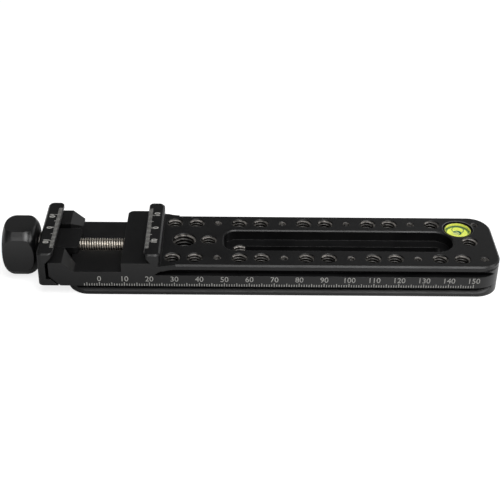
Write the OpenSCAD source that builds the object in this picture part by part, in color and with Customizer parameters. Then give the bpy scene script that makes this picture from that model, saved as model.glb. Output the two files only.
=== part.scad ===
// Nodal slide rail with an end clamp, in millimetres.
// X runs along the rail from the knob to the plain end, Z is up, and the rail stands on Z = 0.
// Lengths along the rail are counted from the zero mark of the rail's scale.

/* [Rail] */
// Distance from the scale's zero mark to the plain end of the rail
rail_end = 161.5; // [140:1:400]
// Height of the rail from its underside to its top face
rail_h = 14.7; // [14:0.1:20]
// Width across the faces that carry the scale, and across the clamp end
body_w = 40.8; // [40:0.1:44]
// Plan radius of the two corners at the plain end
end_r = 10.5; // [6:0.5:12]
// Chamfer round the top face of the rail
top_chamfer = 0.7; // [0.3:0.1:1]
// Chamfer round the underside of the rail
foot_chamfer = 0.5; // [0.3:0.1:0.8]

/* [Upper dovetail] */
// Width of the upper dovetail
flange_w = 38.4; // [38:0.1:39]
// Height of the upper dovetail's upright side
flange_side_h = 2.2; // [2:0.1:2.6]
// Plan radius of the upper dovetail's corners
flange_r = 9; // [6:0.5:9]
// Distance from the rail's top face down to the top of the scale face
scale_drop = 4.2; // [3.8:0.1:4.3]
// Where the front upper groove starts, from the zero mark
front_groove_start = 28; // [26:0.5:40]
// Where the rear upper groove starts, from the zero mark
rear_groove_start = -5.5; // [-6:0.5:4]
// Where the dovetail's inset sides start, from the zero mark
inset_start = 31.5; // [29:0.5:40]
// Radius of the cutter that runs out at the start of the grooves
groove_cutter_r = 8; // [6:0.5:12]
// Radius of the cutter that runs out at the start of the inset sides
inset_cutter_r = 15; // [10:0.5:20]

/* [Lower dovetail] */
// Width of the lower dovetail
foot_w = 38; // [37.5:0.1:38.5]
// Height of the lower dovetail block, up to the underside of the clamp end
foot_h = 5.4; // [5:0.1:6]
// Height of the lower dovetail's upright side, above the underside
foot_side_h = 1.7; // [1.2:0.1:2]
// Width left between the two lower grooves
lower_root_w = 34; // [33:0.1:35]
// Where the lower dovetail starts, from the zero mark
foot_start = -13.7; // [-15:0.1:-8]
// Plan radius of the lower dovetail's corners
foot_r = 9; // [6:0.5:11]

/* [Clamp end] */
// Where the fork ends, from the zero mark
fork_end = -20; // [-24:0.5:-19]
// Height of the clamping pads above the rail's top face
pad_rise = 1.35; // [1:0.05:1.6]
// Where the fixed jaw's pad starts, from the zero mark
pad_start = 8.9; // [6:0.1:10]
// Where the pocket between the pads reaches its floor, from the zero mark
pocket_start = -9.9; // [-11:0.1:-9]
// Depth of the pocket floor below the rail's top face
pocket_drop = 2.7; // [2.2:0.1:2.8]
// Distance of the chamfer along the pocket floor's rear edge from the scale face
pocket_edge = 2.6; // [2:0.1:3]
// Plan radius of the fixed jaw's pad at its rear corner next to the pocket
pad_r = 2.5; // [1:0.5:3]
// How far the prongs' sloping ends run back from the pocket floor
prong_slope = 4.7; // [2:0.1:5]
// Width of the channel between the two prongs
channel_w = 18.8; // [17:0.1:20]
// Where the channel ends, from the zero mark
channel_end = -12; // [-12.5:0.1:-11.5]
// Sideways spread of the prongs' inner ends
prong_flare = 5.7; // [3:0.1:7]
// Length along the rail over which the prongs' inner ends spread
prong_flare_l = 5.4; // [4.9:0.1:6.5]
// Height of the 45 degree chamfer under the prongs' free ends
prong_chamfer = 4.4; // [3:0.1:4.6]

/* [Jaws] */
// Height of both jaws above the rail's top face
jaw_rise = 5.5; // [5:0.1:7]
// Width of a jaw's top face along the rail
jaw_top_w = 6.5; // [5.8:0.1:8]
// Where the fixed jaw's lip lies, from the zero mark
fixed_lip = 18; // [16:0.1:22]
// Height of the upright lip above a jaw's 45 degree undercut
lip_h = 1.4; // [1:0.1:2]
// Depth of the undercut below the lip
undercut = 2.6; // [2:0.1:2.7]
// Plan radius of the jaws' top corners
jaw_r = 2.3; // [1.6:0.1:2.4]
// Chamfer round the jaws' top faces
jaw_chamfer = 0.7; // [0.3:0.1:0.8]
// Chamfer along the jaws' lips
lip_edge = 0.25; // [0.1:0.05:0.4]
// Gap between the moving jaw's wall and the fork at rest
jaw_gap = 1.2; // [0.9:0.05:1.6]
// Gap between the moving jaw's foot and the fork's chamfer at rest, along the rail
foot_gap = 0.8; // [0.7:0.05:1.2]
// Height of the moving jaw's foot under the fork
jaw_foot_h = 2.8; // [2.5:0.1:4]
// Thickness of the moving jaw's back wall
jaw_wall = 3.3; // [2.8:0.1:4.2]
// Width of the tongue that lies over the pocket floor
tongue_w = 14.8; // [14:0.1:17]
// Height of the tongue's top above the rail's top face
tongue_rise = 0.5; // [0.4:0.1:0.8]
// Reach of the tongue's lip over the pocket floor
tongue_lip = 2.6; // [2:0.1:3]
// Plan radius of the tongue's front corners
tongue_r = 2; // [1:0.1:3]

/* [Screw and knob] */
// Outer diameter of the lead screw
screw_d = 5.9; // [5:0.1:6]
// Pitch of the lead screw's thread
screw_pitch = 1; // [0.8:0.1:1.25]
// Depth of the lead screw's thread
thread_depth = 0.5; // [0.3:0.05:0.6]
// Depth of the screw's centre line below the rail's top face
screw_drop = 3; // [2.9:0.05:3.2]
// Where the lead screw ends at rest, from the zero mark
screw_end = 22.5; // [21:0.5:22.5]
// Width of the open groove in the pocket floor under the screw
screw_groove_w = 8.4; // [7.6:0.1:10]
// Length of the knob
knob_l = 15.3; // [12:0.1:20]
// Diameter of the knob across its rounded corners
knob_d = 24.4; // [22:0.1:26]
// Width of the knob across its flats
knob_flats = 19.8; // [18:0.1:21]
// Radius of the knob's rounded ends
knob_round = 4.8; // [2:0.1:5.5]
// Crown of the knob's end faces
knob_crown = 0.7; // [0.3:0.1:1]
// Radius of the flat middle of the knob's end faces
hub_r = 4.5; // [3.5:0.1:5.5]
// Turn of the knob at rest, in degrees
knob_turn = 3; // [0:1:10]
// Outer diameter of the two washers behind the knob
washer_d = 11; // [9:0.5:14]
// Thickness of the nylon washer behind the knob
nylon_t = 0.7; // [0.3:0.1:1]
// Thickness of the steel washer behind the knob
steel_t = 0.7; // [0.3:0.1:1]
// Outer diameter of the screw that holds the knob
cap_screw_d = 3; // [2.5:0.1:3]
// Head diameter of the screw that holds the knob
cap_head_d = 5.6; // [5:0.1:6]
// Head height of the screw that holds the knob
cap_head_h = 1.7; // [1.2:0.1:2.5]
// Distance of the knob screw's head below the knob's end face
cap_inset = 0.4; // [0.2:0.1:1]
// Wall of the knob under the knob screw's head
knob_web = 3; // [2:0.1:4]
// Depth of the tapped hole for the knob screw in the lead screw
cap_stem_l = 6; // [4:0.5:8]
// Across flats of the knob screw's hexagon socket
cap_hex = 2; // [1.5:0.1:2.5]
// Diameter of the small screw that keeps the lead screw in the jaw
keeper_d = 3; // [2.5:0.1:4]
// Distance of the keeper screw's outer end above the jaw's underside
keeper_inset = 0.3; // [0.1:0.1:0.5]
// Depth of the keeper screw's socket
keeper_socket = 1.2; // [1:0.1:1.6]
// Width of the groove that the keeper screw runs in
keeper_groove_w = 2.4; // [2:0.1:3]
// Depth of the groove that the keeper screw runs in
keeper_groove_depth = 0.7; // [0.5:0.1:1]
// Across flats of the keeper screw's hexagon socket
keeper_hex = 1.5; // [1.2:0.1:2]

/* [Hole grid] */
// Place of the first pair of grid holes, from the zero mark
grid_start = 29; // [29:0.5:31]
// Spacing of the grid holes along the rail
grid_pitch = 9; // [9:0.1:12]
// Distance between the two rows of grid holes
row_spacing = 26.4; // [26:0.1:26.6]
// Distance from the plain end within which no grid hole lies
grid_end_gap = 6; // [5:0.5:12]
// Diameter of the quarter inch holes
quarter_d = 6.35; // [6:0.05:6.4]
// Diameter of the small holes
small_d = 3; // [2.5:0.1:4]
// Diameter of the three eighths inch hole
three_eighths_d = 9.525; // [9:0.025:9.6]
// Countersink at the mouth of each hole, measured on its radius
countersink = 0.25; // [0.1:0.05:0.3]
// Place of the three eighths inch hole, from the zero mark
three_eighths_x = 33.3; // [33:0.1:34]
// Place of the middle quarter inch hole by the slot, from the zero mark
centre_hole_x = 43.4; // [42.5:0.1:43.6]
// Distance of the last quarter inch hole from the plain end
end_hole_gap = 10.5; // [9:0.5:11]

/* [Slot] */
// Where the slot's recess starts, from the zero mark
slot_start = 49.6; // [49.5:0.1:52]
// Distance from the slot recess's far end to the plain end
slot_end_gap = 17.5; // [17:0.1:30]
// Width of the slot's recess
recess_w = 15; // [13:0.1:15.4]
// Flat left between the recess's two corners at the plain end
recess_flat = 0.4; // [0.2:0.1:4]
// Depth of the slot's recess
recess_depth = 4.6; // [4:0.1:6]
// Plan radius of the recess's corners at the clamp end
recess_r = 5; // [4:0.1:6]
// Chamfer round the mouth of the slot's recess
slot_chamfer = 0.5; // [0.3:0.1:0.5]
// Width of the slot that goes right through, for the necked shank of a captive screw
slot_w = 5; // [4.5:0.1:5.8]
// Wall left between the recess's ends and the through slot
ledge = 4.3; // [3:0.1:5]

/* [Level] */
// Distance of the bubble level's centre from the plain end
level_gap = 13.9; // [13.5:0.1:14.1]
// Distance of the bubble level's centre from the rail's middle
level_y = 9.7; // [9.5:0.1:9.7]
// Diameter of the level's counterbore
counterbore_d = 12.8; // [12:0.1:12.8]
// Depth of the level's counterbore
counterbore_depth = 0.9; // [0.6:0.1:1.5]
// Outer diameter of the level's cup
cup_d = 11.1; // [10.9:0.1:11.4]
// Distance of the cup's top below the rail's top face
level_inset = 0.4; // [0.2:0.1:0.8]
// Height of the level's cup
cup_h = 5; // [4:0.1:7]
// Diameter of the liquid in the level
liquid_d = 9.6; // [8.5:0.1:9.8]
// Depth of the liquid in the level
liquid_h = 1.8; // [1.4:0.1:2.5]
// Diameter of the level's clear lens
lens_d = 10.4; // [10:0.1:10.8]
// Thickness of the level's clear lens
lens_t = 1.4; // [0.6:0.1:1.6]
// Diameter of the bubble
bubble_d = 3.6; // [3:0.1:4.5]
// Height of the bubble
bubble_h = 0.7; // [0.5:0.1:0.9]
// Outer diameter of the target ring printed on the lens
target_d = 5.2; // [4.8:0.1:6]
// Line width of the printed target ring
target_line = 0.3; // [0.2:0.05:0.5]
// Thickness of the printed target ring
target_t = 0.1; // [0.05:0.05:0.2]

/* [Fits] */
// Radial clearance of the lead screw in the jaw and in the rail
screw_fit = 0.05; // [0.02:0.01:0.08]
// Clearance of the jaw's guide block in the channel, each side
guide_fit = 0.15; // [0.05:0.05:0.3]
// Clearance of the jaw's guide block above the lower dovetail block
guide_under = 0.3; // [0.2:0.1:0.6]
// Clearance between the tongue's lip and the pocket floor
tongue_fit = 0.15; // [0.05:0.05:0.3]
// Room below the lead screw in its open groove
screw_clear = 0.4; // [0.3:0.1:0.8]
// Wall left at the blind end of the lead screw's bore
bore_wall = 0.6; // [0.5:0.1:1]
// Room past the end of each small screw
end_gap = 0.3; // [0.2:0.1:0.5]
// Clearance of the keeper screw's tip in its groove
keeper_fit = 0.15; // [0.1:0.05:0.3]
// Clearance of the keeper screw's tip on each side of its groove
keeper_side_fit = 0.25; // [0.1:0.05:0.4]

/* [Hidden] */
$fn = 64;
// Overshoot that cutting shapes have past the faces they cut
past = 1;
// Overshoot of the chamfer cutters
rim_past = 0.3;
anodised = "#1c1c1d";
steel = "#cfc8bd";
pad_z = rail_h + pad_rise;
jaw_z = rail_h + jaw_rise;
floor_z = rail_h - pocket_drop;
screw_z = rail_h - screw_drop;
channel_z = foot_h - guide_under;
flange_low_z = rail_h - flange_side_h;
scale_z = rail_h - scale_drop;
// The upper grooves cut in at 45 degrees until they meet the top of the scale face
groove_slant = flange_low_z - scale_z;
groove_root = flange_w / 2 - groove_slant;
screw_r = screw_d / 2;
bore_r = screw_r + screw_fit;
// Fixed jaw: from its lip back to its upright back face
fixed_back = fixed_lip + jaw_top_w;
fixed_root = fixed_lip + undercut;
// Shift of the rim cutter that leaves the lip's own small chamfer
lip_shift = jaw_chamfer - lip_edge;
// Moving jaw, at rest
jaw_face = fork_end - jaw_gap;
jaw_back = jaw_face - jaw_wall;
moving_lip = jaw_back + jaw_top_w;
tongue_end = channel_end + tongue_lip;
tongue_z = rail_h + tongue_rise;
guide_end = channel_end - foot_gap;
guide_w = channel_w - 2 * guide_fit;
jaw_foot_z = foot_h + jaw_foot_h;
keeper_x = jaw_face + keeper_d;
keeper_low = foot_h + keeper_inset;
// Washers and knob, from the jaw's back wall outwards
nylon_back = jaw_back - nylon_t;
knob_face = nylon_back - steel_t;
knob_end = knob_face - knob_l;
cap_seat = knob_end + cap_head_h + cap_inset;
shank_start = cap_seat + knob_web;
knob_r = knob_d / 2;
// Slot
slot_end = rail_end - slot_end_gap;
entry_x = slot_start + ledge + slot_w / 2;
slot_far = slot_end - ledge - slot_w / 2;
// Level
level_x = rail_end - level_gap;
cup_z = rail_h - cup_h - level_inset;
liquid_z = cup_z + cup_h - lens_t - liquid_h;
// Grid of holes: every third place is a small hole
grid_count = floor((rail_end - grid_end_gap - grid_start) / grid_pitch) + 1;
row_y = row_spacing / 2;
// Middle of the whole object along X
middle_x = (rail_end + knob_end) / 2;

module place() {
    translate([-middle_x, 0, 0]) children();
}

// Rectangle with its own corner radius at each end
module rounded_rect(x0, x1, w, r0, r1) {
    difference() {
        translate([x0, -w / 2]) square([x1 - x0, w]);
        for (side = [-1, 1]) {
            if (r0 > 0) corner_gap(x0, side * w / 2, r0, -1, side);
            if (r1 > 0) corner_gap(x1, side * w / 2, r1, 1, side);
        }
    }
}

// What a rounded corner leaves out of a square one
module corner_gap(x, y, r, dx, dy) {
    translate([x - dx * r, y - dy * r]) difference() {
        translate([dx > 0 ? 0 : -r - past, dy > 0 ? 0 : -r - past]) square(r + past);
        circle(r);
    }
}

// Cutter that chamfers the rim of a rounded rectangle's top face
module rim_cut(x0, x1, w, z, r0, r1, c) {
    for (side = [-1, 1]) {
        translate([x0 + r0 - (r0 > 0 ? 0 : past), 0, 0])
            along_x(x1 - x0 - r0 - r1 + (r0 > 0 ? 0 : past) + (r1 > 0 ? 0 : past))
                scale_side(side) edge_shape(w / 2, z, c);
    }
    if (r1 > 0) end_cut(x1, 1, w, z, r1, c);
    if (r0 > 0) end_cut(x0, -1, w, z, r0, c);
}

module end_cut(x, dir, w, z, r, c) {
    translate([0, w / 2 - r, 0]) rotate([90, 0, 0]) linear_extrude(w - 2 * r)
        translate([x, 0]) scale_side(dir) edge_shape(0, z, c);
    for (side = [-1, 1])
        translate([x - dir * r, side * (w / 2 - r), 0])
            rotate([0, 0, corner_turn(dir, side)])
                rotate_extrude(angle = 90) edge_shape(r, z, c);
}

module edge_shape(reach, z, c) {
    polygon([[reach - c - rim_past, z + rim_past], [reach + rim_past, z + rim_past],
             [reach + rim_past, z - c - rim_past]]);
}

module scale_side(side) {
    if (side > 0) children();
    else mirror([1, 0]) children();
}

// Extrudes a drawing of Y and Z along X
module along_x(length) {
    rotate([90, 0, 90]) linear_extrude(length) children();
}

// Extrudes a drawing of X and Z across the rail's width
module across(w) {
    translate([0, w / 2, 0]) rotate([90, 0, 0]) linear_extrude(w) children();
}

// Hole from the top face down, with a countersunk mouth
module top_hole(x, y, d, depth) {
    translate([x, y, rail_h - depth]) cylinder(h = depth + past, d = d);
    translate([x, y, rail_h - countersink])
        cylinder(h = countersink + past, r1 = d / 2, r2 = d / 2 + countersink + past);
}

// Rounded mouth of a pocket: a 45 degree chamfer that widens it at the top
module mouth_cut(x0, x1, w, z, r0, r1, c) {
    for (side = [-1, 1])
        translate([x0 + r0, 0, 0]) along_x(x1 - x0 - r0 - r1) scale_side(side) mouth_shape(w / 2, z, c);
    mouth_end(x0, -1, w, z, r0, c);
    mouth_end(x1, 1, w, z, r1, c);
}

module mouth_end(x, dir, w, z, r, c) {
    if (w > 2 * r)
        translate([x, w / 2 - r, 0]) rotate([90, 0, 0]) linear_extrude(w - 2 * r)
            scale_side(dir) mouth_shape(0, z, c);
    for (side = [-1, 1])
        translate([x - dir * r, side * (w / 2 - r), 0])
            rotate([0, 0, corner_turn(dir, side)]) rotate_extrude(angle = 90) mouth_shape(r, z, c);
}

module mouth_shape(reach, z, c) {
    polygon([[reach - rim_past, z + rim_past], [reach + c + rim_past, z + rim_past],
             [reach - rim_past, z - c - rim_past]]);
}

function corner_turn(dir, side) = dir > 0 ? (side > 0 ? 0 : -90) : (side > 0 ? 90 : 180);

// One 45 degree groove of the upper dovetail, with the cutter's run-out at its start
module upper_groove(side, start) {
    translate([start, 0, 0]) along_x(rail_end - start + past) scale_side(side)
        polygon([[groove_root, scale_z], [flange_w / 2, flange_low_z], [body_w, flange_low_z],
                 [body_w, scale_z]]);
    translate([start, side * (groove_root + groove_cutter_r), 0])
        rotate([0, 0, side > 0 ? 180 : 90]) rotate_extrude(angle = 90)
            polygon([[0, scale_z], [groove_cutter_r, scale_z],
                     [groove_cutter_r - groove_slant, flange_low_z], [0, flange_low_z]]);
}

// Cut that sets the upper dovetail's side in from the scale face
module inset_side(side) {
    translate([0, 0, flange_low_z]) linear_extrude(flange_side_h + past) {
        translate([inset_start, side > 0 ? flange_w / 2 : -body_w])
            square([rail_end - inset_start + past, body_w - flange_w / 2]);
        translate([inset_start, side * (flange_w / 2 + inset_cutter_r)]) circle(inset_cutter_r);
    }
}

module upper_corners() {
    translate([0, 0, flange_low_z]) linear_extrude(flange_side_h + past)
        for (side = [-1, 1]) corner_gap(rail_end, side * flange_w / 2, flange_r, 1, side);
}

module lower_groove(side) {
    root = lower_root_w / 2;
    slant = (foot_w - lower_root_w) / 2;
    translate([foot_start - past, 0, 0]) along_x(rail_end - foot_start + 2 * past) scale_side(side)
        polygon([[root, foot_h], [root, foot_side_h + slant], [root + slant, foot_side_h],
                 [body_w, foot_side_h], [body_w, foot_h]]);
}

// Pocket between the pads, with the sloping ends of the prongs
module pocket() {
    slope = prong_slope / (pad_z - floor_z);
    across(body_w + 2 * past)
        polygon([[pocket_start, floor_z], [pad_start, floor_z], [pad_start, pad_z + past],
                 [pocket_start - prong_slope - slope * past, pad_z + past]]);
}

// Chamfer along the rear edge of the pocket floor, and the rounded rear corner of the fixed jaw's pad
module pocket_rear() {
    edge = body_w / 2 - pocket_edge;
    drop = floor_z - scale_z;
    translate([pocket_start, 0, 0]) along_x(pad_start - pocket_start)
        polygon([[edge - past, floor_z + past], [edge + drop, scale_z], [body_w, scale_z],
                 [body_w, floor_z + past]]);
    translate([0, 0, scale_z]) linear_extrude(pad_z - scale_z + past)
        corner_gap(pad_start, body_w / 2, pad_r, -1, 1);
}

// Channel for the tongue, and the spread of the prongs' inner ends
module channel() {
    translate([fork_end - past, -channel_w / 2, channel_z])
        cube([channel_end - fork_end + past, channel_w, pad_z - channel_z + past]);
    flare_x = pocket_start - prong_slope;
    flare_y = channel_w / 2;
    rise = prong_flare / prong_flare_l;
    translate([flare_x, -flare_y, floor_z])
        cube([pocket_start - flare_x, channel_w, pad_z - floor_z + past]);
    for (side = [-1, 1]) {
        translate([0, 0, channel_z]) linear_extrude(pad_z - channel_z + past)
            scale_y(side) polygon([[flare_x, flare_y - past], [flare_x, flare_y],
                [channel_end, flare_y + rise * (channel_end - flare_x)], [channel_end, flare_y - past]]);
        translate([0, 0, floor_z]) linear_extrude(pad_z - floor_z + past)
            scale_y(side) polygon([[flare_x, flare_y - past], [flare_x, flare_y],
                [flare_x + prong_flare_l, flare_y + prong_flare],
                [flare_x + prong_flare_l, flare_y - past]]);
    }
}

module scale_y(side) {
    if (side > 0) children();
    else mirror([0, 1]) children();
}

// Chamfer under the prongs' free ends
module prong_cut() {
    across(body_w + 2 * past)
        polygon([[fork_end - past, foot_h - past], [fork_end + prong_chamfer + past, foot_h - past],
                 [fork_end - past, foot_h + prong_chamfer + past]]);
}

// Jaw seen from the side; its lip faces +X when dir is 1
module fixed_jaw_side() {
    polygon([[fixed_back, rail_h - past], [fixed_back, jaw_z], [fixed_lip, jaw_z],
             [fixed_lip, jaw_z - lip_h], [fixed_root, jaw_z - lip_h - undercut],
             [fixed_root, rail_h - past]]);
}

// Rounds a jaw's upright edges at one side, from height z up
module jaw_corners(x, dir, z) {
    translate([0, 0, z]) linear_extrude(jaw_z - z + past)
        for (side = [-1, 1]) corner_gap(x, side * body_w / 2, jaw_r, dir, side);
}

// Solid along the lead screw's centre line, turned from a drawing of radius and X
module turned() {
    translate([0, 0, screw_z]) rotate([0, 90, 0]) rotate_extrude() children();
}

module screw_bore(x0, x1, r) {
    translate([x0, 0, screw_z]) rotate([0, 90, 0]) cylinder(h = x1 - x0, r = r);
}

// Distance of a grid hole from the level's centre
function level_distance(x, y) = norm([x - level_x, y - level_y]);

module hole_grid() {
    for (i = [0 : grid_count - 1], side = [-1, 1]) {
        x = grid_start + i * grid_pitch;
        d = i % 3 == 2 ? small_d : quarter_d;
        clear = level_distance(x, side * row_y) > (counterbore_d + d) / 2 + countersink;
        if (clear) top_hole(x, side * row_y, d, rail_h + past);
    }
}

module centre_holes() {
    top_hole(three_eighths_x, 0, three_eighths_d, rail_h + past);
    top_hole(centre_hole_x, 0, quarter_d, rail_h + past);
    top_hole(rail_end - end_hole_gap, 0, quarter_d, rail_h + past);
}

module slot_cut() {
    far_r = (recess_w - recess_flat) / 2;
    translate([0, 0, rail_h - recess_depth]) linear_extrude(recess_depth + past)
        rounded_rect(slot_start, slot_end, recess_w, recess_r, far_r);
    mouth_cut(slot_start, slot_end, recess_w, rail_h, recess_r, far_r, slot_chamfer);
    translate([0, 0, -past]) linear_extrude(rail_h + past) {
        translate([entry_x, -slot_w / 2]) square([slot_far - entry_x, slot_w]);
        translate([slot_far, 0]) circle(slot_w / 2);
    }
    ledge_z = rail_h - recess_depth;
    translate([entry_x, 0, -past]) cylinder(h = rail_h + past, d = quarter_d);
    translate([entry_x, 0, ledge_z - countersink])
        cylinder(h = countersink, r1 = quarter_d / 2, r2 = quarter_d / 2 + countersink);
}

module level_cut() {
    translate([level_x, level_y, rail_h - counterbore_depth])
        cylinder(h = counterbore_depth + past, d = counterbore_d);
    translate([level_x, level_y, cup_z]) cylinder(h = cup_h + past, d = cup_d);
}

module rail_blank() {
    translate([0, 0, foot_h]) linear_extrude(rail_h - foot_h)
        rounded_rect(fork_end, rail_end, body_w, 0, end_r);
    linear_extrude(foot_h + past) rounded_rect(foot_start, rail_end, foot_w, foot_r, foot_r);
    translate([fork_end, -body_w / 2, rail_h - past])
        cube([fixed_back - fork_end, body_w, pad_rise + past]);
    across(body_w) fixed_jaw_side();
}

module rail_body() {
    color(anodised) place() difference() {
        rail_blank();
        for (side = [-1, 1]) {
            upper_groove(side, side > 0 ? rear_groove_start : front_groove_start);
            inset_side(side);
            lower_groove(side);
        }
        upper_corners();
        rim_cut(inset_start, rail_end, flange_w, rail_h, 0, flange_r, top_chamfer);
        mirror([0, 0, 1]) rim_cut(foot_start, rail_end, foot_w, 0, foot_r, foot_r, foot_chamfer);
        pocket();
        pocket_rear();
        channel();
        prong_cut();
        jaw_corners(fixed_lip, -1, pad_z);
        jaw_corners(fixed_back, 1, rail_h);
        rim_cut(fixed_lip - lip_shift, fixed_back, body_w, jaw_z, jaw_r, jaw_r, jaw_chamfer);
        translate([channel_end - past, -screw_groove_w / 2, screw_z - screw_r - screw_clear])
            cube([pad_start - channel_end + past, screw_groove_w, screw_r + screw_clear + rail_h]);
        screw_bore(pad_start - past, fixed_back - bore_wall, bore_r);
        hole_grid();
        centre_holes();
        slot_cut();
        level_cut();
    }
}

module moving_jaw_side() {
    lip_drop = moving_lip - jaw_face;
    polygon([[jaw_back, foot_h], [jaw_back, jaw_z], [moving_lip, jaw_z], [moving_lip, jaw_z - lip_h],
             [jaw_face, jaw_z - lip_h - lip_drop], [jaw_face, jaw_foot_z],
             [fork_end - foot_gap + prong_chamfer - jaw_foot_h, jaw_foot_z],
             [fork_end - foot_gap + prong_chamfer, foot_h]]);
}

module moving_jaw() {
    color(anodised) place() difference() {
        union() {
            across(body_w) moving_jaw_side();
            translate([0, 0, floor_z + tongue_fit]) linear_extrude(tongue_z - floor_z - tongue_fit)
                rounded_rect(jaw_face - past, tongue_end, tongue_w, 0, tongue_r);
            translate([jaw_face - past, -tongue_w / 2, foot_h])
                cube([guide_end - jaw_face + past, tongue_w, floor_z - foot_h + past]);
            translate([jaw_face - past, -guide_w / 2, foot_h])
                cube([guide_end - jaw_face + past, guide_w, jaw_foot_h]);
        }
        jaw_corners(jaw_back, -1, foot_h - past);
        jaw_corners(moving_lip, 1, jaw_z - lip_h - undercut);
        rim_cut(jaw_back, moving_lip + lip_shift, body_w, jaw_z, jaw_r, jaw_r, jaw_chamfer);
        screw_bore(jaw_back - past, tongue_end + past, bore_r);
        translate([keeper_x, 0, foot_h - past]) cylinder(h = screw_z - foot_h, d = keeper_d);
    }
}

// Ridges of the lead screw's thread, as points of radius and X
function ridges(from, count) = [for (i = [0 : count - 1], step = [0, 1])
    [screw_r - (step == 0 ? thread_depth : 0), from + (i + step / 2) * screw_pitch]];

module lead_screw() {
    count = floor((screw_end - guide_end) / screw_pitch);
    half = keeper_groove_w / 2;
    deep = screw_r - keeper_groove_depth;
    color(steel) place() difference() {
        turned() polygon(concat(
            [[0, shank_start], [screw_r, shank_start], [screw_r, keeper_x - half],
             [deep, keeper_x - half], [deep, keeper_x + half], [screw_r, keeper_x + half],
             [screw_r, guide_end - screw_pitch / 2]],
            ridges(guide_end, count),
            [[screw_r - thread_depth, screw_end], [0, screw_end]]));
        screw_bore(shank_start - past, shank_start + cap_stem_l, cap_screw_d / 2);
    }
}

// Side of the knob before its flats are cut, as a drawing of radius and X
module knob_turning() {
    flat = knob_r - knob_round;
    polygon([[0, knob_end], [hub_r, knob_end], [flat, knob_end + knob_crown],
             [flat, knob_end + knob_crown + knob_round], [knob_r, knob_end + knob_crown + knob_round],
             [knob_r, knob_face - knob_crown - knob_round], [flat, knob_face - knob_crown - knob_round],
             [flat, knob_face - knob_crown], [hub_r, knob_face], [0, knob_face]]);
    for (x = [knob_end + knob_crown + knob_round, knob_face - knob_crown - knob_round])
        translate([flat, x]) circle(knob_round);
}

module clamp_knob() {
    color(anodised) place() difference() {
        intersection() {
            turned() knob_turning();
            translate([knob_end - past, 0, screw_z]) rotate([-knob_turn, 0, 0])
                translate([0, -knob_flats / 2, -knob_flats / 2])
                    cube([knob_l + 2 * past, knob_flats, knob_flats]);
        }
        screw_bore(shank_start, knob_face + past, screw_r);
        screw_bore(cap_seat - past, shank_start + past, cap_screw_d / 2);
        screw_bore(knob_end - past, cap_seat, cap_head_d / 2);
    }
}

module knob_screw() {
    color(steel) place() difference() {
        union() {
            screw_bore(cap_seat - cap_head_h, cap_seat, cap_head_d / 2);
            screw_bore(cap_seat - past, shank_start + cap_stem_l - end_gap, cap_screw_d / 2);
        }
        translate([cap_seat - cap_head_h - past, 0, screw_z]) rotate([0, 90, 0])
            cylinder(h = cap_head_h / 2 + past, d = hex_corners(cap_hex), $fn = 6);
    }
}

// Width across corners of a hexagon from its width across flats
function hex_corners(flats) = flats / cos(30);

module keeper_screw() {
    tip_d = keeper_groove_w - 2 * keeper_side_fit;
    tip_z = screw_z - screw_r + keeper_groove_depth - keeper_fit;
    color(steel) place() translate([keeper_x, 0, 0]) difference() {
        union() {
            translate([0, 0, keeper_low])
                cylinder(h = screw_z - bore_r - end_gap - keeper_low, d = keeper_d);
            translate([0, 0, keeper_low]) cylinder(h = tip_z - keeper_low, d = tip_d);
        }
        translate([0, 0, keeper_low - past])
            cylinder(h = past + keeper_socket, d = hex_corners(keeper_hex), $fn = 6);
    }
}

module washer(x0, x1) {
    difference() {
        screw_bore(x0, x1, washer_d / 2);
        screw_bore(x0 - past, x1 + past, screw_r);
    }
}

module nylon_washer() {
    color("whitesmoke") place() washer(nylon_back, jaw_back);
}

module steel_washer() {
    color(steel) place() washer(knob_face, nylon_back);
}

module on_level(z) {
    translate([level_x, level_y, z]) children();
}

module level_cup() {
    color("greenyellow") place() on_level(cup_z) difference() {
        cylinder(h = cup_h, d = cup_d);
        translate([0, 0, cup_h - lens_t]) cylinder(h = lens_t + past, d = lens_d);
        translate([0, 0, cup_h - lens_t - liquid_h]) cylinder(h = liquid_h + past, d = liquid_d);
    }
}

// Cap of a sphere, flat side up, for the bubble under the lens
module bubble_shape() {
    r = (pow(bubble_d / 2, 2) + pow(bubble_h, 2)) / (2 * bubble_h);
    on_level(liquid_z + liquid_h - bubble_h) intersection() {
        translate([0, 0, r]) sphere(r);
        cylinder(h = bubble_h, d = bubble_d + past);
    }
}

module level_liquid() {
    color("yellow") place() difference() {
        on_level(liquid_z) cylinder(h = liquid_h, d = liquid_d);
        bubble_shape();
    }
}

module level_bubble() {
    color("white") place() bubble_shape();
}

module level_target() {
    color("teal") place() on_level(cup_z + cup_h) difference() {
        cylinder(h = target_t, d = target_d);
        translate([0, 0, -past]) cylinder(h = target_t + 2 * past, d = target_d - 2 * target_line);
    }
}

module level_lens() {
    color("white") place() on_level(cup_z + cup_h - lens_t) cylinder(h = lens_t, d = lens_d);
}

rail_body();
moving_jaw();
lead_screw();
clamp_knob();
knob_screw();
keeper_screw();
nylon_washer();
steel_washer();
level_cup();
level_liquid();
level_bubble();
level_target();
level_lens();
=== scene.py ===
"""Finishes, threads, scales, camera and light of the nodal slide rail."""
import math

import bpy
from mathutils import Euler, Matrix, Vector


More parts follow.
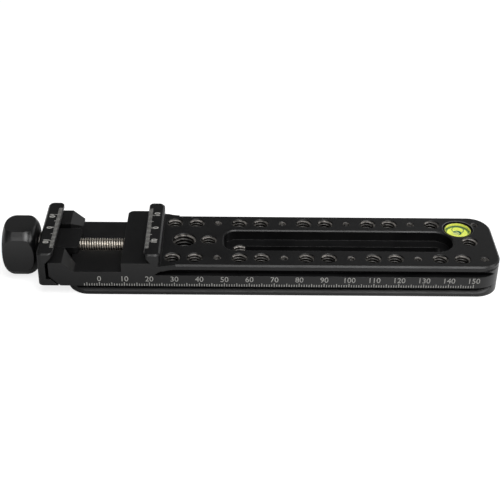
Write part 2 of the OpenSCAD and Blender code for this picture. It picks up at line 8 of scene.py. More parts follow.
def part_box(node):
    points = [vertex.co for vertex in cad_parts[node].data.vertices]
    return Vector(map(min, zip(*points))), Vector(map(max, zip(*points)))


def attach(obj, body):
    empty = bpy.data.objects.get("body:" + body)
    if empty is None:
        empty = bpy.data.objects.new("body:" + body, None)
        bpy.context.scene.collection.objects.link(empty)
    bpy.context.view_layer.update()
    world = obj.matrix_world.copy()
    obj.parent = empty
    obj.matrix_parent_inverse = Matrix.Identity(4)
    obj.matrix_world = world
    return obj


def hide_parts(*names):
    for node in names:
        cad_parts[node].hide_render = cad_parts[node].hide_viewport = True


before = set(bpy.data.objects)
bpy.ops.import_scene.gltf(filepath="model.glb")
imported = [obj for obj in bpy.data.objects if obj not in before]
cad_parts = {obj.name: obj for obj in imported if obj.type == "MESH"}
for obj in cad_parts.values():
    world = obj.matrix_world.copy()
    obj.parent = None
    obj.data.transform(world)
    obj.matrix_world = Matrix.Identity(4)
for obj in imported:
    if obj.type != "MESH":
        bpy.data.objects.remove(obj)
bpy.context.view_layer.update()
bpy.ops.object.select_all(action="DESELECT")

MM = 0.001

# Places and sizes are in millimetres. Along X, a place is counted from the long scale's zero mark,
# and this is where that mark lies in the frame.
ZERO_MARK = -60.15


def at(x, y, z):
    """A place on the rail as a Blender point in metres."""
    return Vector(((x + ZERO_MARK) * MM, y * MM, z * MM))


def corners(node):
    """A node's lowest and highest corners as places on the rail."""
    return [corner / MM - Vector((ZERO_MARK, 0, 0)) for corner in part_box(node)]


RAIL_LOW, RAIL_HIGH = corners("rail_body")
SCREW_LOW, SCREW_HIGH = corners("lead_screw")
LENS_LOW, LENS_HIGH = corners("level_lens")

# The rail: its top face, the jaws' tops, and the front face that carries the long scale
RAIL_TOP = 14.7
JAW_TOP = RAIL_HIGH.z
SCALE_FACE_Y = RAIL_LOW.y
SCALE_LOW_Z = 5.4

# Marks of all scales: how thick they are, and a digit's height as a share of its type size
MARK_T = 0.02
DIGIT_SHARE = 0.729

# The long scale on the front face
SCALE_FIRST, SCALE_LAST = -6, 150
TICK_W = 0.34
TICK_FOOT = SCALE_LOW_Z + 0.1
TICK_LENGTHS = {1: 1.15, 5: 1.6, 10: 1.75}
NUMBER_STEP = 10
NUMBER_H = 2.5
NUMBER_FOOT = SCALE_LOW_Z + 2.3

# The short scales on the jaws: where the edges that carry them lie along X, and a band of fine ticks
# that goes JAW_REACH to each side of the middle, with longer ticks and numbers behind it
FIXED_EDGE, MOVING_EDGE = 18.0, -18.0
JAW_REACH = 15
BAND_W, BAND_INSET = 1.5, 0.25
JAW_TICK_W = 0.34
JAW_LONG_TICKS = {-10: 1.5, -5: 0.7, 0: 0.9, 5: 0.7, 10: 1.5}
JAW_NUMBERS = ("10", "0", "10")
JAW_NUMBER_H, JAW_NUMBER_BOLD = 2.3, 0.1
JAW_NUMBER_GAP = 3.6
FIXED_NUMBER_Y, MOVING_NUMBER_Y = (-9.9, 0.2, 10.7), (-10.6, -0.3, 9.2)

# Threads: radius of the wall, radius of the crest, and pitch
QUARTER = (3.175, 2.6, 1.27)
THREE_EIGHTHS = (4.7625, 4.05, 1.5875)
SMALL = (1.5, 1.24, 0.5)

# The rib of a thread: its foot as a share of the pitch, its crest as a share of the foot, and how many
# steps a full turn has
RIB_SHARE, CREST_SHARE = 0.8, 0.18
RIB_STEPS = 28

# Where the threads end: above the lower countersink, and just below the top face. In degrees round a
# hole, the run-outs say where the top turns end, and SLOT_CLEAR how far a turn stops short of the slot.
COUNTERSINK = 0.25
MOUTH = 0.08
THREAD_RUN_OUT = 155.0
ENTRY_RUN_OUT = 100.0
SLOT_CLEAR = 1.0

# Places of the tapped holes, and the ledge that the slot's entry hole comes up to
GRID_START, GRID_PITCH, GRID_COUNT = 29, 9, 15
SMALL_EVERY = 3
ROW_Y = 13.2
END_GAP = 10.5
THREE_EIGHTHS_X, CENTRE_X, END_X = 33.3, 43.4, RAIL_HIGH.x - END_GAP
ENTRY_X, LEDGE_TOP, SLOT_W = 56.4, 10.1, 5.0

# The bubble level. LEVEL is its centre, LEVEL_TOP the middle of its lens's top as a Blender point,
# and no hole of the grid lies closer to the centre than LEVEL_CLEAR. BUBBLE_SHINE is the middle of the
# bubble's painted dark reflection, counted from the centre, and HAIR the lens's gap to its seat.
LEVEL = tuple((LENS_LOW + LENS_HIGH).xy / 2)
LEVEL_TOP = at(*LEVEL, LENS_HIGH.z)
LEVEL_CLEAR = 8.0
COUNTERBORE_R = 6.4
LENS_R = (LENS_HIGH.x - LENS_LOW.x) / 2
LENS_EASE = 0.15
BUBBLE_SHINE = (-0.45, -0.4)
HAIR = 0.02

# The lead screw, with the keeper's groove and the knob screw's tapped hole. RIB_SUNK is how deep the
# thread's foot lies in the bar.
SCREW_Z = (SCREW_LOW.z + SCREW_HIGH.z) / 2
SCREW_R = (SCREW_HIGH.z - SCREW_LOW.z) / 2
SCREW_ROOT, SCREW_PITCH, SCREW_RIB_SHARE = 2.35, 1.0, 0.86
RIB_SUNK = 0.05
SCREW_END, THREAD_START, SHANK_START = SCREW_HIGH.x, -12.8, SCREW_LOW.x
KEEPER_X, KEEPER_HALF, KEEPER_R = -18.2, 1.2, 2.25
STEM_R, STEM_L = 1.5, 6.0

# Mesh work, in metres and radians: corners closer than this are one, and flatter edges look smooth
TOUCH = 1e-7
SMOOTH_BELOW = math.radians(35)

# The camera, in metres and radians, and its lens and film in millimetres
CAMERA_AT = (-0.00544, -0.39834, 0.26695)
CAMERA_PITCH, CAMERA_YAW, CAMERA_ROLL = 0.573175, 0.0141820, 0.0150972
FOCAL_LENGTH, FILM_W = 82.416, 36.0

# The floor, in metres. Its mirrored light has a painted shadow: it fades over SHADE_REACH in front of and
# behind the rail, and what is left of it close to the rail grows from the first SHADE_LIGHT to the second
# between the two SHADE_SIDES along X.
FLOOR_SIZE = 8
FLOOR_GLOW, FLOOR_GREY = 0.8, 0.4
SHADE_REACH = (0.03, 0.06)
SHADE_SIDES, SHADE_LIGHT = (-0.09, 0.1), (0.02, 1.25)

# The room's light: how steeply a ray rises, from 0 at the horizon to 1 straight up, and the tone there
ROOM_TONES = ((0.06, 0.9), (0.3, 0.07))

# Lamps: azimuth and elevation in degrees, distance and size in metres, and power in watts
LAMPS = {
    "softbox": (34, 57, 0.8, (0.45, 0.4), 4.3),
    "left_light": (-50, 30, 1.0, (0.4, 0.5), 0.7),
    "front_light": (-14, 50, 0.9, (0.3, 0.3), 1.0),
    "right_light": (80, 26, 1.0, (0.4, 0.4), 2.4),
    "top_light": (0, 80, 0.9, (0.5, 0.4), 1.7),
    "rear_light": (150, 32, 1.2, (0.9, 0.4), 0.4),
}


def only(piece):
    """Selects one piece alone."""
    bpy.ops.object.select_all(action="DESELECT")
    piece.select_set(True)
    bpy.context.view_layer.objects.active = piece


def settle(piece, name):
    """Names a piece and moves its place into its mesh."""
    only(piece)
    bpy.ops.object.transform_apply(location=True, rotation=True, scale=True)
    piece.name = name
    return piece


def block(name, low, high):
    """A straight block between two corners, as a tick of a scale is."""
    bpy.ops.mesh.primitive_cube_add(size=1, location=(low + high) / 2, scale=high - low)
    return settle(bpy.context.object, name)


def pick_faces(piece, wanted):
    """Opens a piece for editing with only the wanted faces selected."""
    only(piece)
    bpy.ops.object.mode_set(mode="EDIT")
    bpy.ops.mesh.select_mode(type="FACE")
    bpy.ops.mesh.select_all(action="DESELECT")
    bpy.ops.object.mode_set(mode="OBJECT")
    for face in piece.data.polygons:
        face.select = wanted(face)
    bpy.ops.object.mode_set(mode="EDIT")


def row(piece, count, step):
    """Repeats a mark along a line, as one mesh."""
    only(piece)
    array = piece.modifiers.new("row", "ARRAY")
    array.count = count
    array.use_relative_offset = False
    array.use_constant_offset = True
    array.constant_offset_displace = Vector(step) * MM
    bpy.ops.object.modifier_apply(modifier=array.name)
    return piece


def join(pieces, name):
    """Makes one piece of several."""
    bpy.ops.object.select_all(action="DESELECT")
    for piece in pieces:
        piece.select_set(True)
    bpy.context.view_layer.objects.active = pieces[0]
    bpy.ops.object.join()
    pieces[0].name = name
    return pieces[0]


def finish_piece(piece, body, finish):
    """Gives a piece its material, and lets it ride on a body."""
    piece.data.materials.clear()
    piece.data.materials.append(finish)
    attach(piece, body)


def number(text, place, turn, height, bold=0.0):
    """A plain number as a thin closed solid, its foot's middle at the place."""
    bpy.ops.object.text_add(location=place, rotation=turn)
    piece = bpy.context.object
    piece.data.body = text
    piece.data.size = height * MM / DIGIT_SHARE
    piece.data.offset = bold * MM
    piece.data.align_x = "CENTER"
    piece.data.align_y = "BOTTOM_BASELINE"
    piece.data.extrude = MARK_T * MM / 2
    piece.data.resolution_u = 4
    only(piece)
    bpy.ops.object.convert(target="MESH")
    piece = settle(bpy.context.object, "number_" + text)
    bpy.ops.object.mode_set(mode="EDIT")
    bpy.ops.mesh.select_all(action="SELECT")
    bpy.ops.mesh.remove_doubles(threshold=TOUCH)
    bpy.ops.mesh.normals_make_consistent(inside=False)
    bpy.ops.object.mode_set(mode="OBJECT")
    return piece


# Materials

def grey(tone):
    return (tone, tone, tone)


def new_material(name):
    """A new material, with its nodes, its links and its shader."""
    material = bpy.data.materials.new(name)
    material.use_nodes = True
    nodes = material.node_tree.nodes
    return material, nodes, material.node_tree.links, nodes["Principled BSDF"]


def noise(nodes, links, coords, scale, detail=3.0):
    """A cloudy pattern that stays with the piece."""
    texture = nodes.new("ShaderNodeTexNoise")
    texture.inputs["Scale"].default_value = scale
    texture.inputs["Detail"].default_value = detail
    links.new(coords.outputs["Object"], texture.inputs["Vector"])
    return texture


def spread(nodes, links, source, low, high, start=0.3, end=0.7):
    """Turns a value that runs from start to end into one from low to high.

    A cloudy pattern mostly runs from 0.3 to 0.7.
    """
    ranged = nodes.new("ShaderNodeMapRange")
    ranged.inputs["From Min"].default_value = start
    ranged.inputs["From Max"].default_value = end
    ranged.inputs["To Min"].default_value = low
    ranged.inputs["To Max"].default_value = high
    links.new(source, ranged.inputs["Value"])
    return ranged.outputs["Result"]


def two_tone(nodes, links, source, first, second):
    """A colour between two close tones, after a cloudy pattern."""
    ramp = nodes.new("ShaderNodeValToRGB")
    ramp.color_ramp.elements[0].position = 0.35
    ramp.color_ramp.elements[1].position = 0.65
    ramp.color_ramp.elements[0].color = (*first, 1)
    ramp.color_ramp.elements[1].color = (*second, 1)
    links.new(source, ramp.inputs["Fac"])
    return ramp.outputs["Color"]


def tinted(nodes, links, coords, colour, centre, keep, stops):
    """Tints a colour by the distance from centre in the directions that keep names.

    Each stop is a distance in millimetres and the tint there, nearest first.
    """
    shift = nodes.new("ShaderNodeMapping")
    shift.inputs["Location"].default_value = [-c * k for c, k in zip(centre, keep)]
    shift.inputs["Scale"].default_value = keep
    links.new(coords.outputs["Object"], shift.inputs["Vector"])
    reach = nodes.new("ShaderNodeVectorMath")
    reach.operation = "LENGTH"
    links.new(shift.outputs["Vector"], reach.inputs[0])
    near, far = stops[0][0], stops[-1][0]
    share = spread(nodes, links, reach.outputs["Value"], 0, 1, near * MM, far * MM)
    ramp = nodes.new("ShaderNodeValToRGB")
    steps = ramp.color_ramp.elements
    for index, (distance, tint) in enumerate(stops):
        step = steps[index] if index < 2 else steps.new(1.0)
        step.position = (distance - near) / (far - near)
        step.color = (*tint, 1)
    links.new(share, ramp.inputs["Fac"])
    blend = nodes.new("ShaderNodeMix")
    blend.data_type = "RGBA"
    blend.blend_type = "MULTIPLY"
    blend.inputs["Factor"].default_value = 1.0
    links.new(colour, blend.inputs["A"])
    links.new(ramp.outputs["Color"], blend.inputs["B"])
    return blend.outputs["Result"]


def surface(name, first, second, rough, grain, depth,
            metal=0.0, gloss=0.5, edge=0.0, painted_light_and_shade=(), patch=90):
    """A worked surface: two close tones, a fine grain in its height and a broken gloss.

    rough is the range of its roughness, grain and patch are how fine the grain and the tones' patches
    are, depth is the grain's height in metres, and edge is the reach of its softened edges in
    millimetres.
    """
    material, nodes, links, shader = new_material(name)
    coords = nodes.new("ShaderNodeTexCoord")
    cloud = noise(nodes, links, coords, patch)
    fine = noise(nodes, links, coords, grain, 2.0)
    colour = two_tone(nodes, links, cloud.outputs["Fac"], first, second)
    # Painted light and shade: each entry lightens or darkens the tones by the distance from a place.
    for tint in painted_light_and_shade:
        colour = tinted(nodes, links, coords, colour, *tint)
    links.new(colour, shader.inputs["Base Color"])
    links.new(spread(nodes, links, cloud.outputs["Fac"], *rough), shader.inputs["Roughness"])
    bump = nodes.new("ShaderNodeBump")
    bump.inputs["Strength"].default_value = 0.5
    bump.inputs["Distance"].default_value = depth
    links.new(fine.outputs["Fac"], bump.inputs["Height"])
    if edge:
        soft = nodes.new("ShaderNodeBevel")
        soft.samples = 6
        soft.inputs["Radius"].default_value = edge * MM
        links.new(soft.outputs["Normal"], bump.inputs["Normal"])
    links.new(bump.outputs["Normal"], shader.inputs["Normal"])
    shader.inputs["Metallic"].default_value = metal
    shader.inputs["Specular IOR Level"].default_value = gloss
    return material


def clear_plastic(name, first, second, rough, body):
    """Clear plastic: body is the small share of it that can be seen."""
    material, nodes, links, shader = new_material(name)
    coords = nodes.new("ShaderNodeTexCoord")
    cloud = noise(nodes, links, coords, 300)
    links.new(two_tone(nodes, links, cloud.outputs["Fac"], first, second), shader.inputs["Base Color"])
    links.new(spread(nodes, links, cloud.outputs["Fac"], *rough), shader.inputs["Roughness"])
    shader.inputs["Alpha"].default_value = body
    return material


def glowing(material, colour, strength):
    """Paints a glow on a material, a little light of its own: part the plastic's fluorescence, part
    painted light.
    """
    shader = material.node_tree.nodes["Principled BSDF"]
    shader.inputs["Emission Color"].default_value = (*colour, 1)
    shader.inputs["Emission Strength"].default_value = strength
    return material


# Finishes of the pieces

def black_anodised():
    """Grained black anodising, with a painted highlight along the far rim of the level's counterbore.

    The highlight's centre lies a little behind the level's, so that it thins out towards the front, and
    height counts for much more than the other directions, which keeps it to the top face.
    """
    behind, height_counts, lit = 0.15, 50, grey(42)
    rim = at(LEVEL[0], LEVEL[1] + behind, RAIL_TOP)
    # Painted highlight: the top face is made light in a thin ring round the counterbore's far rim.
    line = [(COUNTERBORE_R - 0.2, grey(1)), (COUNTERBORE_R - 0.15, lit),
            (COUNTERBORE_R + 0.1, lit), (COUNTERBORE_R + 0.16, grey(1))]
    return surface("black_anodised", (0.0025, 0.0025, 0.0027), (0.004, 0.004, 0.0042), (0.34, 0.42),
                   5200, 0.00002, gloss=0.34, edge=0.3, painted_light_and_shade=[(rim, (1, 1, height_counts), line)])


def knob_black():
    return surface("knob_black", (0.003, 0.003, 0.0032), (0.0045, 0.0045, 0.0047), (0.3, 0.36),
                   5200, 0.00001, gloss=0.46, edge=0.4)


def tapped_metal(name, top, bare_and_painted_light):
    """Cut thread metal, with painted shade that darkens it with depth below top. The last argument is how
    bright the uncoated metal is, and it also paints light: each copy is set brighter or darker to look
    lit.
    """
    painted_depth_shade = [(0, grey(1)), (0.8, grey(0.7)), (1.5, grey(0.4)), (2.8, grey(0.2)), (5.0, grey(0.03))]
    first = [tone * bare_and_painted_light for tone in (0.05, 0.046, 0.042)]
    second = [tone * bare_and_painted_light for tone in (0.3, 0.28, 0.26)]
    return surface(name, first, second, (0.3, 0.4), 3800, 0.00001, metal=0.3, patch=600,
                   painted_light_and_shade=[((0, 0, top * MM), (0, 0, 1), painted_depth_shade)])


def bright_steel():
    return surface("bright_steel", (0.6, 0.565, 0.51), (0.74, 0.7, 0.63), (0.22, 0.32),
                   2600, 0.00001, metal=1.0)


def screw_steel():
    """Bright steel, with painted shade that makes it dark down in the thread."""
    painted_depth_shade = [(SCREW_ROOT, grey(0.12)), (2.5, grey(0.6)), (2.65, grey(1))]
    return surface("screw_steel", (0.72, 0.67, 0.6), (0.86, 0.81, 0.73), (0.28, 0.36),
                   2600, 0.00001, metal=1.0, painted_light_and_shade=[((0, 0, SCREW_Z * MM), (0, 1, 1), painted_depth_shade)])


def washer_steel():
    return surface("washer_steel", (0.1, 0.095, 0.09), (0.15, 0.14, 0.13), (0.35, 0.45),
                   2600, 0.00001, metal=1.0)


def black_nylon():
    return surface("black_nylon", grey(0.012), grey(0.02), (0.5, 0.6), 3000, 0.00001)


def engraved_mark():
    return surface("engraved_mark", (0.3, 0.295, 0.28), (0.36, 0.355, 0.335), (0.6, 0.75), 4000, 0.00001)


def vial_plastic():
    """Fluorescent yellow plastic with a little painted glow, and painted shade: green and then dark down
    the cup, and dark round the lens's seat.
    """
    painted_depth_shade = [(0, grey(1)), (0.95, grey(1)), (1.1, (0.25, 0.25, 0.9)), (1.3, (0.2, 0.22, 0.8)),
              (1.38, (0.02, 0.12, 0.33))]
    rim = [(5.25, grey(1)), (5.3, (0.03, 0.04, 0.06))]
    plastic = surface("vial_plastic", (0.82, 0.85, 0.12), (0.9, 0.92, 0.16), (0.15, 0.25), 1200, 0.000004,
                      painted_light_and_shade=[(LEVEL_TOP, (0, 0, 1), painted_depth_shade), (LEVEL_TOP, (1, 1, 0), rim)])
    return glowing(plastic, (0.25, 0.27, 0.03), 0.2)


def target_print():
    return surface("target_print", (0.01, 0.09, 0.07), (0.015, 0.12, 0.09), (0.4, 0.5), 2400, 0.000002)


def level_liquid():
    """Yellow liquid with a little painted glow, and painted shade in dark green along its edge."""
    edge = [(4.2, grey(1)), (4.3, (0.02, 0.12, 0.33))]
    liquid = surface("level_liquid", (0.7, 0.78, 0.1), (0.82, 0.86, 0.14), (0.1, 0.2), 700, 0.000004,
                     painted_light_and_shade=[(LEVEL_TOP, (1, 1, 0), edge)])
    return glowing(liquid, (0.7, 0.78, 0.1), 0.26)


def level_bubble():
    """The bubble, with a painted dark reflection in a ring, as its far side would give back."""
    shine = LEVEL_TOP + Vector((*BUBBLE_SHINE, 0)) * MM
    rings = [(1.3, grey(1)), (1.4, (0.005, 0.17, 0.25)), (2.3, (0.005, 0.14, 0.2))]
    return surface("level_bubble", (0.7, 0.76, 0.24), (0.8, 0.84, 0.32), (0.1, 0.2), 900, 0.000004,
                   painted_light_and_shade=[(shine, (1, 1, 0), rings)])


def level_lens():
    return clear_plastic("level_lens", (0.06, 0.2, 0.1), (0.08, 0.24, 0.12), (0.03, 0.06), 0.06)


# Threads

def thread_rib(name, crest_r, wall_r, pitch, low, high, share=RIB_SHARE, start=0.0, sweep=360.0):
    """A right-hand helical rib round the Z axis, closed at both ends, its top turn ending at high.

    Its foot is as wide as share says, of the pitch. Its turns begin at the angle that start gives.
    A sweep under a full circle leaves each turn open at the same side, as in a hole that a slot
    cuts into.
    """
    turns = int((high - low) / pitch - share)
    low = high - (turns - 1 + sweep / 360 + share / 2) * pitch
    bpy.ops.mesh.primitive_plane_add(size=1, rotation=(math.pi / 2, 0, 0),
                                     location=((crest_r + wall_r) / 2 * MM, 0, low * MM))
    rib = bpy.context.object
    rib.scale = (abs(wall_r - crest_r) * MM, pitch * share * MM, 1)
    settle(rib, name)
    mesh = rib.data
    for vertex in mesh.vertices:
        vertex.select = abs(vertex.co.x - crest_r * MM) < 10 * TOUCH
    for edge in mesh.edges:
        edge.select = all(mesh.vertices[i].select for i in edge.vertices)
    for face in mesh.polygons:
        face.select = False
    bpy.ops.object.mode_set(mode="EDIT")
    bpy.ops.mesh.select_mode(type="VERT")
    bpy.ops.transform.resize(value=(1, 1, CREST_SHARE), center_override=(crest_r * MM, 0, low * MM))
    bpy.ops.mesh.select_all(action="SELECT")
    bpy.ops.mesh.delete(type="ONLY_FACE")
    bpy.ops.object.mode_set(mode="OBJECT")
    screw = rib.modifiers.new("turns", "SCREW")
    screw.axis = "Z"
    screw.angle = math.radians(sweep)
    screw.screw_offset = pitch * MM * sweep / 360
    screw.iterations = turns if sweep == 360 else 1
    screw.steps = screw.render_steps = RIB_STEPS
    only(rib)
    bpy.ops.object.modifier_apply(modifier=screw.name)
    bpy.ops.object.mode_set(mode="EDIT")
    bpy.ops.mesh.select_all(action="SELECT")
    bpy.ops.mesh.remove_doubles(threshold=TOUCH)
    bpy.ops.mesh.fill_holes(sides=4)
    bpy.ops.mesh.select_all(action="SELECT")
    bpy.ops.mesh.normals_make_consistent(inside=False)
    bpy.ops.object.mode_set(mode="OBJECT")
    if sweep < 360:
        row(rib, turns, (0, 0, pitch))
    rib.rotation_euler.z = math.radians(start)
    return settle(rib, name)


def copy_to(piece, place, name):
    """A copy of a piece, with its own mesh, moved to a place."""
    twin = piece.copy()
    twin.data = piece.data.copy()
    twin.data.transform(Matrix.Translation(place))
    twin.name = name
    bpy.context.scene.collection.objects.link(twin)
    return twin


def hole_places():
    """Label, thread and place of every tapped hole on the top face."""
    places = [("three_eighths", THREE_EIGHTHS, THREE_EIGHTHS_X, 0),
              ("centre", QUARTER, CENTRE_X, 0), ("end", QUARTER, END_X, 0)]
    for index in range(GRID_COUNT):
        x = GRID_START + index * GRID_PITCH
        for label, y in (("near", -ROW_Y), ("far", ROW_Y)):
            if math.dist((x, y), LEVEL) < LEVEL_CLEAR:
                continue
            kind = SMALL if (index + 1) % SMALL_EVERY == 0 else QUARTER
            places.append((f"{label}_{index + 1:02d}", kind, x, y))
    return places


def add_hole_threads(finish, fine_finish):
    """A thread in every tapped hole of the top face, each kind modelled once and copied."""
    ribs = {}
    for kind in (QUARTER, THREE_EIGHTHS, SMALL):
        wall, crest, pitch = kind
        ribs[kind] = thread_rib("rib", crest, wall, pitch, COUNTERSINK, RAIL_TOP - MOUTH,
                                start=THREAD_RUN_OUT)
    for label, kind, x, y in hole_places():
        turns = copy_to(ribs[kind], at(x, y, 0), "thread_" + label)
        finish_piece(turns, "rail", fine_finish if kind == SMALL else finish)
    for rib in ribs.values():
        bpy.data.objects.remove(rib)


def add_entry_thread(finish):
    """The thread of the slot's entry hole, which the slot leaves open on one side.

    Its last turn is a short one, from the slot round to where it runs out.
    """
    wall, crest, pitch = QUARTER
    side = math.degrees(math.asin(SLOT_W / 2 / wall)) + SLOT_CLEAR
    last = thread_rib("last_turn", crest, wall, pitch, LEDGE_TOP - 2 * pitch, LEDGE_TOP,
                      start=side, sweep=ENTRY_RUN_OUT)
    open_top = LEDGE_TOP - pitch * (ENTRY_RUN_OUT + 2 * side) / 360
    turns = thread_rib("open_turns", crest, wall, pitch, COUNTERSINK, open_top,
                       start=side, sweep=360 - 2 * side)
    entry = join([turns, last], "thread_entry")
    entry.data.transform(Matrix.Translation(at(ENTRY_X, 0, 0)))
    finish_piece(entry, "rail", finish)


def turned_bar(name, steps, sides=48):
    """A round bar along Z. Each step is a height and a radius, drawn out from the one before."""
    low, radius = steps[0]
    high = steps[1][0]
    bpy.ops.mesh.primitive_cylinder_add(vertices=sides, radius=radius * MM, depth=(high - low) * MM,
                                        location=(0, 0, (low + high) / 2 * MM))
    bar = settle(bpy.context.object, name)
    height, width = high, radius
    pick_faces(bar, lambda face: face.normal.z > 0.9)
    for z, r in steps[1:]:
        if z == height and r == width:
            continue
        bpy.ops.mesh.extrude_region_move(TRANSFORM_OT_translate={"value": (0, 0, (z - height) * MM)})
        share = r / width
        bpy.ops.transform.resize(value=(share, share, 1), center_override=(0, 0, z * MM))
        height, width = z, r
    bpy.ops.object.mode_set(mode="OBJECT")
    return bar


def add_lead_screw(finish):
    """The lead screw, turned and threaded along Z, then laid along X with its free end in the rail."""
    length = SCREW_END - SHANK_START
    groove = SCREW_END - KEEPER_X
    thread_l = SCREW_END - THREAD_START
    bar = turned_bar("screw_bar", [
        (0, SCREW_ROOT), (thread_l, SCREW_ROOT), (thread_l, SCREW_R), (groove - KEEPER_HALF, SCREW_R),
        (groove - KEEPER_HALF, KEEPER_R), (groove + KEEPER_HALF, KEEPER_R),
        (groove + KEEPER_HALF, SCREW_R), (length, SCREW_R), (length, STEM_R),
        (length - STEM_L, STEM_R)])
    rib = thread_rib("screw_rib", SCREW_R, SCREW_ROOT - RIB_SUNK, SCREW_PITCH, 0, thread_l,
                     share=SCREW_RIB_SHARE)
    screw = join([bar, rib], "lead_screw_turned")
    screw.rotation_euler = (0, -math.pi / 2, 0)
    screw.location = at(SCREW_END, 0, SCREW_Z)
    settle(screw, "lead_screw_turned")
    bpy.ops.object.shade_smooth_by_angle(angle=SMOOTH_BELOW)
    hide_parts("lead_screw")
    finish_piece(screw, "screw", finish)


# Level

def add_lens(finish):
    """The level's lens, a hair clear of its seat, with an eased rim."""
    radius = LENS_R - HAIR
    lens = turned_bar("vial_lens", [
        (LENS_LOW.z + HAIR, radius), (LENS_HIGH.z - LENS_EASE, radius),
        (LENS_HIGH.z, radius - LENS_EASE)], 64)
    lens.data.transform(Matrix.Translation(at(*LEVEL, 0)))
    only(lens)
    bpy.ops.object.shade_smooth_by_angle(angle=SMOOTH_BELOW)
    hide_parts("level_lens")
    finish_piece(lens, "rail", finish)


# Scales

def front_tick(x, low, high):
    """An upright tick on the rail's front face."""
    return block("tick", at(x - TICK_W / 2, SCALE_FACE_Y - MARK_T / 2, low),
                 at(x + TICK_W / 2, SCALE_FACE_Y + MARK_T / 2, high))


def add_long_scale(finish):
    """A tick for each millimetre, drawn out further at each fifth and tenth, and the numbers."""
    short, middle = SCALE_LOW_Z + TICK_LENGTHS[1], SCALE_LOW_Z + TICK_LENGTHS[5]
    ticks = [row(front_tick(SCALE_FIRST, TICK_FOOT, short), SCALE_LAST - SCALE_FIRST + 1, (1, 0, 0))]
    for step, low in ((5, short), (10, middle)):
        first = math.ceil(SCALE_FIRST / step) * step
        ticks.append(row(front_tick(first, low, SCALE_LOW_Z + TICK_LENGTHS[step]),
                         (SCALE_LAST - first) // step + 1, (step, 0, 0)))
    finish_piece(join(ticks, "scale_ticks"), "rail", finish)
    numbers = [number(str(value), at(value, SCALE_FACE_Y, NUMBER_FOOT), (math.pi / 2, 0, 0), NUMBER_H)
               for value in range(0, SCALE_LAST + 1, NUMBER_STEP)]
    finish_piece(join(numbers, "scale_numbers"), "rail", finish)


def jaw_tick(edge, side, y, start, end):
    """A tick across a jaw's top, from start to end in from its edge."""
    x0, x1 = sorted((edge + side * start, edge + side * end))
    return block("tick", at(x0, y - JAW_TICK_W / 2, JAW_TOP - MARK_T / 2),
                 at(x1, y + JAW_TICK_W / 2, JAW_TOP + MARK_T / 2))


def add_jaw_scale(name, body, edge, side, number_places, finish):
    """A short scale on a jaw. side is +1 where the jaw's top lies on the +X side of its edge."""
    band_end = BAND_W + BAND_INSET
    ticks = [row(jaw_tick(edge, side, -JAW_REACH, BAND_INSET, band_end), 2 * JAW_REACH + 1, (0, 1, 0))]
    for y, reach in JAW_LONG_TICKS.items():
        ticks.append(jaw_tick(edge, side, y, band_end, band_end + reach))
    turn = (0, 0, side * math.pi / 2)
    foot = edge + side * (JAW_NUMBER_GAP + JAW_NUMBER_H / 2)
    numbers = [number(text, at(foot, y, JAW_TOP), turn, JAW_NUMBER_H, JAW_NUMBER_BOLD)
               for text, y in zip(JAW_NUMBERS, number_places)]
    finish_piece(join(ticks + numbers, name), body, finish)


# Camera, floor and light

def add_camera():
    """Looks down on the rail from the front, a touch from the left."""
    bpy.ops.object.camera_add()
    camera = bpy.context.object
    camera.name = "camera"
    turn = Euler((math.pi / 2 - CAMERA_PITCH, 0, -CAMERA_YAW)).to_matrix()
    turn = turn @ Matrix.Rotation(CAMERA_ROLL, 3, "Z")
    camera.matrix_world = Matrix.Translation(CAMERA_AT) @ turn.to_4x4()
    camera.data.lens = FOCAL_LENGTH
    camera.data.sensor_width = FILM_W
    camera.data.clip_start = 0.01
    bpy.context.scene.camera = camera


def add_lamp(name, azimuth, elevation, distance, size, power):
    """A soft lamp aimed at the rail's middle. Azimuth 0 is in front, and grows to the right."""
    a, e = math.radians(azimuth), math.radians(elevation)
    place = Vector((math.sin(a) * math.cos(e), -math.cos(a) * math.cos(e), math.sin(e))) * distance
    bpy.ops.object.light_add(type="AREA", location=place)
    lamp = bpy.context.object
    lamp.name = name
    lamp.rotation_euler = place.to_track_quat("Z", "Y").to_euler()
    lamp.data.shape = "RECTANGLE"
    lamp.data.size, lamp.data.size_y = size
    lamp.data.energy = power


def worked_out(nodes, links, operation, first, second=None):
    """One step of a sum: first and second are sockets, or second a plain number."""
    step = nodes.new("ShaderNodeMath")
    step.operation = operation
    links.new(first, step.inputs[0])
    if isinstance(second, float):
        step.inputs[1].default_value = second
    elif second is not None:
        links.new(second, step.inputs[1])
    return step


def floor_shade(nodes, links):
    """How much light the floor gives back in a mirrored ray.

    Close to the rail such a ray meets a painted shadow of the rail, which is deeper on the left.
    """
    coords = nodes.new("ShaderNodeTexCoord")
    split = nodes.new("ShaderNodeSeparateXYZ")
    links.new(coords.outputs["Object"], split.inputs["Vector"])
    aside = worked_out(nodes, links, "ABSOLUTE", split.outputs["Y"])
    away = spread(nodes, links, aside.outputs["Value"], 0, 1, *SHADE_REACH)
    along = spread(nodes, links, split.outputs["X"], *SHADE_LIGHT, *SHADE_SIDES)
    lit = nodes.new("ShaderNodeMix")
    lit.data_type = "FLOAT"
    links.new(away, lit.inputs["Factor"])
    links.new(along, lit.inputs["A"])
    lit.inputs["B"].default_value = 1.0
    return lit.outputs["Result"]


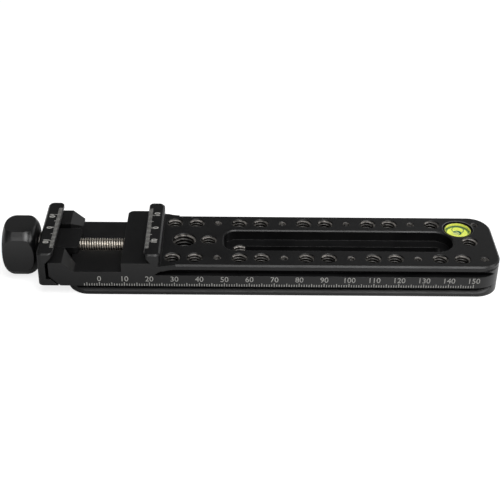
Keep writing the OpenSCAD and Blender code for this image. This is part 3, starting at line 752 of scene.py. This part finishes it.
def add_floor():
    """A pale floor that glows evenly to the eye, and dimly round the rail in mirrored light, where a
    painted shadow of the rail falls.
    """
    bpy.ops.mesh.primitive_plane_add(size=FLOOR_SIZE)
    floor = bpy.context.object
    floor.name = "floor"
    material, nodes, links, shader = new_material("pale_floor")
    nodes.remove(shader)
    path = nodes.new("ShaderNodeLightPath").outputs
    mirrored = worked_out(nodes, links, "ADD", path["Is Glossy Ray"], path["Is Transmission Ray"])
    mirrored = worked_out(nodes, links, "MULTIPLY", floor_shade(nodes, links), mirrored.outputs["Value"])
    seen = worked_out(nodes, links, "ADD", path["Is Camera Ray"], mirrored.outputs["Value"])
    seen.use_clamp = True
    strength = worked_out(nodes, links, "MULTIPLY", seen.outputs["Value"], FLOOR_GLOW)
    glow = nodes.new("ShaderNodeEmission")
    links.new(strength.outputs["Value"], glow.inputs["Strength"])
    paint = nodes.new("ShaderNodeBsdfDiffuse")
    paint.inputs["Color"].default_value = (*grey(FLOOR_GREY), 1)
    both = nodes.new("ShaderNodeAddShader")
    links.new(glow.outputs["Emission"], both.inputs[0])
    links.new(paint.outputs["BSDF"], both.inputs[1])
    links.new(both.outputs["Shader"], nodes["Material Output"].inputs["Surface"])
    floor.data.materials.append(material)


def add_room_light():
    """A dim room, paler near the horizon."""
    world = bpy.data.worlds.new("room")
    bpy.context.scene.world = world
    world.use_nodes = True
    nodes, links = world.node_tree.nodes, world.node_tree.links
    coords = nodes.new("ShaderNodeTexCoord")
    split = nodes.new("ShaderNodeSeparateXYZ")
    links.new(coords.outputs["Generated"], split.inputs["Vector"])
    ramp = nodes.new("ShaderNodeValToRGB")
    for step, (height, tone) in zip(ramp.color_ramp.elements, ROOM_TONES):
        step.position = height
        step.color = (*grey(tone), 1)
    links.new(split.outputs["Z"], ramp.inputs["Fac"])
    links.new(ramp.outputs["Color"], nodes["Background"].inputs["Color"])
    nodes["Background"].inputs["Strength"].default_value = 1.0


anodised, bright, mark = black_anodised(), bright_steel(), engraved_mark()
# The last number of each tapped metal is partly painted light: a copy is set brighter or darker to look
# more or less lit.
thread = tapped_metal("tapped_thread", RAIL_TOP, 1.0)
fine_thread = tapped_metal("fine_tapped_thread", RAIL_TOP, 0.9)
entry_thread = tapped_metal("tapped_entry_thread", LEDGE_TOP, 1.7)
finishes = {
    "rail_body": anodised, "moving_jaw": anodised, "clamp_knob": knob_black(),
    "knob_screw": bright, "keeper_screw": bright, "steel_washer": washer_steel(),
    "lead_screw": screw_steel(), "nylon_washer": black_nylon(), "level_cup": vial_plastic(),
    "level_liquid": level_liquid(), "level_bubble": level_bubble(), "level_target": target_print(),
    "level_lens": level_lens(),
}
for node, finish in finishes.items():
    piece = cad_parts[node]
    piece.data.materials.clear()
    piece.data.materials.append(finish)

add_camera()
add_hole_threads(thread, fine_thread)
add_entry_thread(entry_thread)
add_lead_screw(finishes["lead_screw"])
add_lens(finishes["level_lens"])
add_long_scale(mark)
add_jaw_scale("fixed_jaw_scale", "rail", FIXED_EDGE, 1, FIXED_NUMBER_Y, mark)
add_jaw_scale("moving_jaw_scale", "jaw", MOVING_EDGE, -1, MOVING_NUMBER_Y, mark)
add_floor()
add_room_light()
for lamp, setting in LAMPS.items():
    add_lamp(lamp, *setting)

bpy.context.scene.view_settings.view_transform = "Standard"
